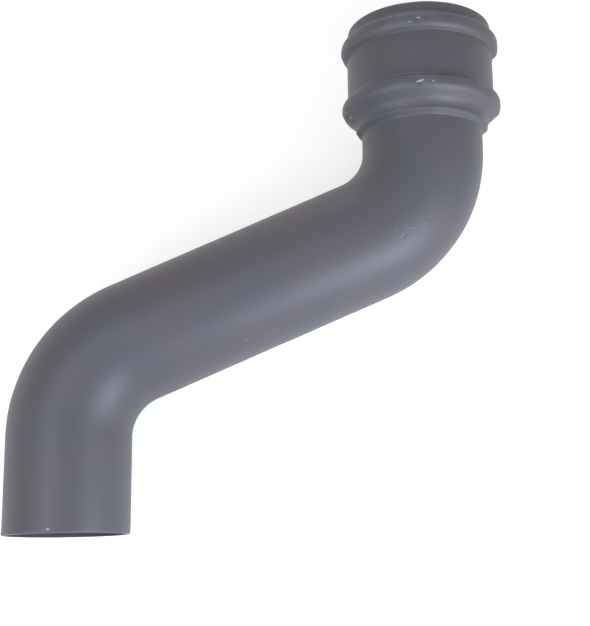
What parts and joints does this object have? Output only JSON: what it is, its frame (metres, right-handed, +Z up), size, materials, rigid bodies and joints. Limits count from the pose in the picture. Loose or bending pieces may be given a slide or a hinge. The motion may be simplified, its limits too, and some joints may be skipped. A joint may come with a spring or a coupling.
{
  "type": "downpipe offset bend",
  "caption": "Round rainwater downpipe offset cast in one piece: plain spigot, slanting pipe between two bends, and a beaded socket with a collar.",
  "frame": {"origin": "on the floor, under the middle of the casting's box as it lies on its side", "axes": "+Z up, +Y along the pipe from the spigot end to the socket mouth, +X across the offset towards the socket"},
  "size_m": [0.3218, 0.3314, 0.105],
  "materials": {
    "painted_casting": "satin mid-grey paint over a cast surface"
  },
  "bodies": {
    "root": {"offset_bend": "painted_casting"}
  },
  "joints": []
}
